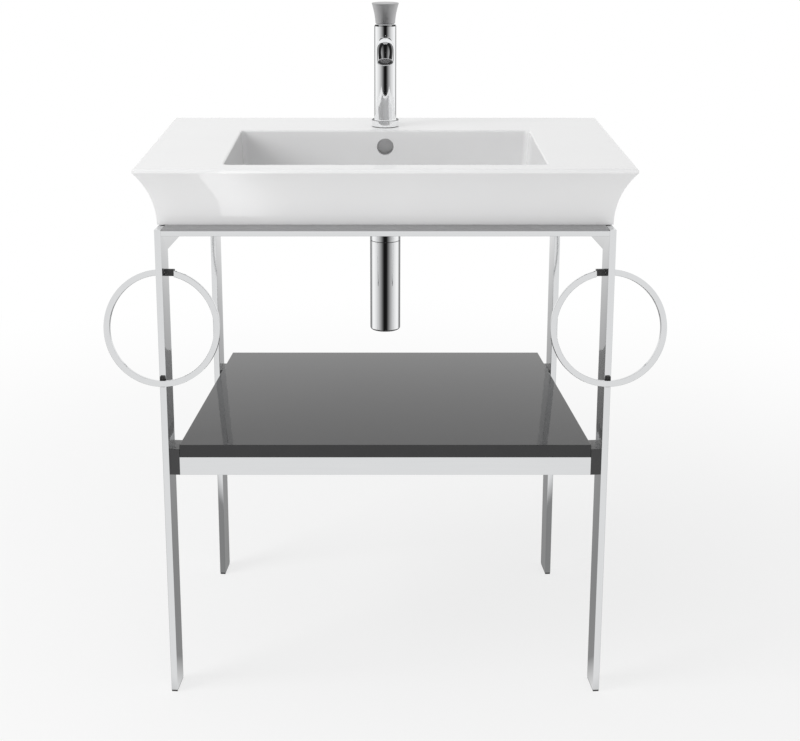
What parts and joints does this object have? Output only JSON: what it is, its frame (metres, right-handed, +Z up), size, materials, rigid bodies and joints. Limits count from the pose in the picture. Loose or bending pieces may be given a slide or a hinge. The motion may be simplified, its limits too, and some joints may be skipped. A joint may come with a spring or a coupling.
{
  "type": "vanity basin",
  "caption": "Ceramic vanity basin with a flared skirt on a polished flat-bar stand, with a lever mixer, bottle trap, dark gloss shelf and swinging towel rings.",
  "frame": {"origin": "on the floor, under the middle of the whole object's box", "axes": "+Z up, +Y to the wall behind, +X to the right as the user faces the basin"},
  "size_m": [0.8518, 0.519, 1.0585],
  "materials": {
    "glazed_ceramic": "white glaze, glossy",
    "polished_steel": "mirror polished",
    "chrome": "bright chrome plate",
    "satin_steel": "satin",
    "steel": "plain",
    "gloss_lacquer": "anthracite high-gloss lacquer on board",
    "black_plastic": "fine matte",
    "black_metal": "satin black",
    "dark_plastic": "matte",
    "white_plastic": "moulded",
    "grey_rubber": "matte",
    "black_rubber": "matte",
    "brass": "machined"
  },
  "bodies": {
    "stand": {"aerator": "dark_plastic", "back_leg_left": "polished_steel", "back_leg_right": "polished_steel", "back_rail": "polished_steel", "basin": "glazed_ceramic", "bedding_strips": "grey_rubber", "cartridge": "white_plastic", "deck_gasket": "black_rubber", "deck_nut": "brass", "dip_tube": "white_plastic", "dome_nut": "chrome", "frame_screws": "steel", "front_leg_left": "polished_steel", "front_leg_right": "polished_steel", "front_rail": "polished_steel", "hanger_screws": "steel", "hook_screws": "steel", "inlet_tails": "brass", "leg_glides": "black_plastic", "leg_hooks": "black_plastic", "outlet_nut": "chrome", "outlet_pipe": "chrome", "ring_buffers": "black_rubber", "ring_bushes": "white_plastic", "shelf_back_rail": "polished_steel", "shelf_board": "gloss_lacquer", "shelf_front_rail": "polished_steel", "shelf_hangers": "black_plastic", "shelf_side_rail_left": "polished_steel", "shelf_side_rail_right": "polished_steel", "side_rail_left": "polished_steel", "side_rail_right": "polished_steel", "tap_base_ring": "chrome", "tap_base_seal": "black_rubber", "tap_body": "chrome", "tap_shank": "brass", "trap_cup": "chrome", "trap_head": "chrome", "trap_seals": "black_rubber", "wall_rosette": "chrome", "waste_body": "chrome", "waste_flange_seal": "black_rubber", "waste_lower_seal": "black_rubber", "waste_nut": "brass"},
    "left_ring": {"towel_ring_left": "polished_steel", "ring_sleeve_left": "black_metal", "ring_sleeve_screw_left": "steel"},
    "right_ring": {"towel_ring_right": "polished_steel", "ring_sleeve_right": "black_metal", "ring_sleeve_screw_right": "steel"},
    "mixer_carrier": {"cartridge_carrier": "white_plastic", "lever_pin": "steel"},
    "mixer_handle": {"lever_stem": "steel", "tap_handle": "satin_steel", "handle_screw": "steel"},
    "plug": {"waste_plug": "chrome", "plug_seal": "black_rubber", "plug_clip": "steel"}
  },
  "joints": [
    {"name": "left_ring_swing", "type": "hinge", "parent": "stand", "child": "left_ring", "pos_m": [-0.33573, -0.22297, 0.6885], "axis": [-0.9969, 0.0792, 0], "range_deg": [0, 140]},
    {"name": "right_ring_swing", "type": "hinge", "parent": "stand", "child": "right_ring", "pos_m": [0.33573, -0.22297, 0.6885], "axis": [-0.9969, -0.0792, 0], "range_deg": [0, 140]},
    {"name": "handle_swivel", "type": "hinge", "parent": "stand", "child": "mixer_carrier", "pos_m": [0, 0.154, 1.008], "axis": [0, 0, 1], "range_deg": [-45, 45]},
    {"name": "handle_tilt", "type": "hinge", "parent": "mixer_carrier", "child": "mixer_handle", "pos_m": [0, 0.154, 1.008], "axis": [1, 0, 0], "range_deg": [0, 20]},
    {"name": "plug_lift", "type": "slide", "parent": "stand", "child": "plug", "axis": [0, 0, 1], "range_m": [0, 0.008]}
  ]
}
